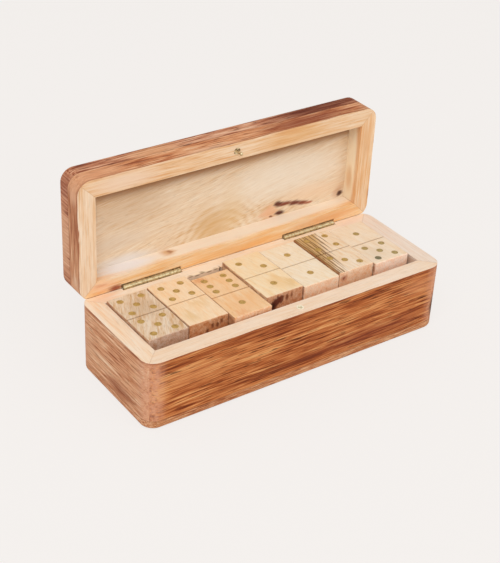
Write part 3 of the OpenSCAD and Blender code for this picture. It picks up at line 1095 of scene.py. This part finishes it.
@dataclass(frozen=True)
class Dominoes:
    """The 28 dominoes and their brass pips.

    Attributes:
        length: length of a domino.
        across: distance between the pips of a half, across the domino.
        along: distance between the pips of a half, along the domino.
        pip: diameter of a pip.
        sunk: how far a pip lies below the face of its domino.
        play: gap between a disc and the wall of its seat.
        below: how far a disc's crown stays below the face of its domino.
        rounding: how much lower a disc's edge lies than its middle.
        sides: straight sides of a disc's outline.
    """

    length: float = 44.5
    across: float = 13.2
    along: float = 13.0
    pip: float = 4.0
    sunk: float = 0.15
    play: float = 0.05
    below: float = 0.04
    rounding: float = 0.06
    sides: int = 32

    def build(self) -> None:
        """Dresses the dominoes and sets brass discs in the lower ones."""
        dark_pip = Mark((68.4, -14.8, 45.5), (3.2, 3.2, 9.0), (112, 110, 84), 0.8, soft=0.1)
        green = Mark((72.0, -4.0, 45.5), (17.0, 24.0, 9.0), (168, 152, 100), 0.5, soft=0.2)
        brass = MetalFinish(
            "pip_brass", (202, 168, 96), (178, 142, 78), 0.25, (0.4, 0.6), odd=(green, dark_pip)
        ).material()
        names = sorted(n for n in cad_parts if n.startswith("domino_"))
        for number, node in enumerate(names):
            pair = node[len("domino_"):]
            tone = LOWER_TONES[number % len(LOWER_TONES)]
            seed = 80.0 + 3.0 * number
            wood, end = TOP_ROW.get(pair, (tile_timber(tone, seed), tile_end(tone, seed + 1.0)))
            dress(node, TileFinish(f"wood_{node}", box_of(node), wood, end).material())
            if pair in TOP_ROW:
                dress("pips_" + pair, brass)
            elif pair != "0_0":
                self._inlay(node, pair, brass)
            LOG.info("domino %s", node)

    def _inlay(self, node: str, pair: str, brass: bpy.types.Material) -> None:
        """Sets the brass discs in the seats of one lower domino.

        Args:
            node: the domino.
            pair: its two numbers, the one of its back half first.
            brass: the material of the discs.
        """
        low, high = box_of(node)
        middle_x, middle_y = (low[0] + high[0]) / 2, (low[1] + high[1]) / 2
        shape = bmesh.new()
        for number, way in zip(pair.split("_"), (1.0, -1.0)):
            for step_x, step_y in self.spots(int(number)):
                x = middle_x + step_x * self.across / 2
                y = middle_y + way * self.length / 4 + step_y * self.along / 2
                self._disc(shape, x, y, high[2] - self.sunk)
        mesh = bpy.data.meshes.new(f"discs_{pair}")
        for vertex in shape.verts:
            vertex.co *= MM
        shape.to_mesh(mesh)
        shape.free()
        mesh.materials.append(brass)
        discs = bpy.data.objects.new(f"discs_{pair}", mesh)
        bpy.context.scene.collection.objects.link(discs)
        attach(discs, node)

    @staticmethod
    def spots(number: int) -> List[Pair]:
        """Places of the pips of a half, in steps of half the pip distances."""
        places: List[Pair] = [(0.0, 0.0)] if number % 2 else []
        places += [(-1.0, 1.0), (1.0, -1.0)] if number > 1 else []
        places += [(1.0, 1.0), (-1.0, -1.0)] if number > 3 else []
        return places + ([(-1.0, 0.0), (1.0, 0.0)] if number > 5 else [])

    def _disc(self, shape: bmesh.types.BMesh, x: float, y: float, z: float) -> None:
        """Adds one thin disc with a crowned face to shape, standing at height z."""
        radius = self.pip / 2 - self.play
        top = self.sunk - self.below
        profile = ((1.0, 0.0), (1.0, top - self.rounding), (0.9, top - 0.02), (0.5, top))
        turns = [2.0 * math.pi * i / self.sides for i in range(self.sides)]
        loops = []
        for share, height in profile:
            ring = radius * share
            loops.append([
                shape.verts.new((x + ring * math.cos(t), y + ring * math.sin(t), z + height))
                for t in turns
            ])
        shape.faces.new(list(reversed(loops[0])))
        for lower, upper in zip(loops, loops[1:]):
            for i in range(self.sides):
                j = (i + 1) % self.sides
                face = shape.faces.new((lower[i], lower[j], upper[j], upper[i]))
                face.smooth = True
        shape.faces.new(loops[-1]).smooth = True


LAMP_AIM = (0.0, 0.0, 0.05)  # the middle of the box, in metres


@dataclass(frozen=True)
class Lamp:
    """A square soft box that shines on the middle of the box.

    Attributes:
        name: its name.
        at: its place, in metres.
        size: its width, in metres.
        power: in watts.
    """

    name: str
    at: Place
    size: float
    power: float

    def light(self) -> None:
        """Adds it to the scene."""
        data = bpy.data.lights.new(self.name, "AREA")
        data.size = self.size
        data.energy = self.power
        lamp = bpy.data.objects.new(self.name, data)
        lamp.location = self.at
        lamp.rotation_mode = "QUATERNION"
        aim = Vector(LAMP_AIM) - lamp.location
        lamp.rotation_quaternion = aim.to_track_quat("-Z", "Y")
        bpy.context.scene.collection.objects.link(lamp)


@dataclass(frozen=True)
class Studio:
    """The floor, the lights and the camera.

    Attributes:
        eye: the camera's place.
        turn: its azimuth, elevation and roll, in degrees.
        focal: its focal length, in pixels of the picture.
        ground: colour of the floor and the backdrop.
        glow: share of the floor's light that no shadow takes away.
        reach: half the width of the floor, in metres.
        drop: how far the floor lies below the box.
        sky: strength of the light from all round.
        lamps: the soft boxes.
    """

    eye: Place = (-376.27, -496.19, 428.84)
    turn: Place = (-36.277, 31.844, 3.085)
    focal: float = 1298.4
    ground: Colour = (0.913, 0.880, 0.855)
    glow: float = 0.88
    reach: float = 20.0
    drop: float = 0.2
    sky: float = 0.6
    lamps: Tuple[Lamp, ...] = (
        Lamp("key", (-0.9, -0.8, 1.6), 1.0, 13.5),
        Lamp("fill", (0.5, -1.5, 0.8), 1.4, 7.0),
    )

    def build(self) -> None:
        """Makes the floor, the lights and the camera."""
        bpy.context.scene.view_settings.view_transform = "Standard"
        self._camera()
        self._floor()
        self._lights()

    def _camera(self) -> None:
        """Puts the camera where the photograph was taken from."""
        azimuth, elevation, roll = (math.radians(a) for a in self.turn)
        out = math.cos(elevation)
        back = Vector((math.sin(azimuth) * out, -math.cos(azimuth) * out, math.sin(elevation)))
        right = Vector((math.cos(azimuth), math.sin(azimuth), 0.0))
        up = back.cross(right)
        level = math.cos(roll) * right + math.sin(roll) * up
        upright = math.cos(roll) * up - math.sin(roll) * right
        data = bpy.data.cameras.new("camera")
        data.sensor_width = 36.0
        data.lens = self.focal * data.sensor_width / max(PICTURE)
        data.clip_start, data.clip_end = 0.01, 50.0
        camera = bpy.data.objects.new("camera", data)
        bpy.context.scene.collection.objects.link(camera)
        turned = Matrix((level, upright, back)).transposed().to_4x4()
        camera.matrix_world = Matrix.Translation(Vector(self.eye) * MM) @ turned
        bpy.context.scene.camera = camera

    def _floor(self) -> None:
        """A wide pale floor that keeps a soft share of the shadow."""
        mesh = bpy.data.meshes.new("floor")
        shape = bmesh.new()
        bmesh.ops.create_grid(shape, x_segments=1, y_segments=1, size=self.reach)
        shape.to_mesh(mesh)
        shape.free()
        floor = bpy.data.objects.new("floor", mesh)
        floor.location.z = -self.drop * MM
        bpy.context.scene.collection.objects.link(floor)
        graph = Graph("pale_floor")
        lit = graph.add("ShaderNodeBsdfDiffuse", None, {"Color": self.ground})
        flat = graph.add("ShaderNodeEmission", None, {"Color": self.ground, "Strength": 1.0})
        path = graph.add("ShaderNodeLightPath", output="Is Camera Ray")
        direct = path.most(path.sibling("Is Glossy Ray")).most(path.sibling("Is Transmission Ray"))
        sockets = {0: direct * self.glow, 1: lit, 2: flat}
        graph.add_output(graph.add("ShaderNodeMixShader", None, sockets))
        mesh.materials.append(graph.material)

    def _lights(self) -> None:
        """Even light from all round, with soft boxes above and in front."""
        world = bpy.data.worlds.new("soft_surroundings")
        world.use_nodes = True
        background = world.node_tree.nodes["Background"]
        background.inputs["Color"].default_value = (1.0, 1.0, 1.0, 1.0)
        background.inputs["Strength"].default_value = self.sky
        bpy.context.scene.world = world
        for lamp in self.lamps:
            lamp.light()


def main() -> None:
    """Builds the scene and reports each piece."""
    logging.basicConfig(level=logging.INFO, format="%(message)s")
    StorageBox().build()
    Dominoes().build()
    Studio().build()


if __name__ == "__main__":
    main()
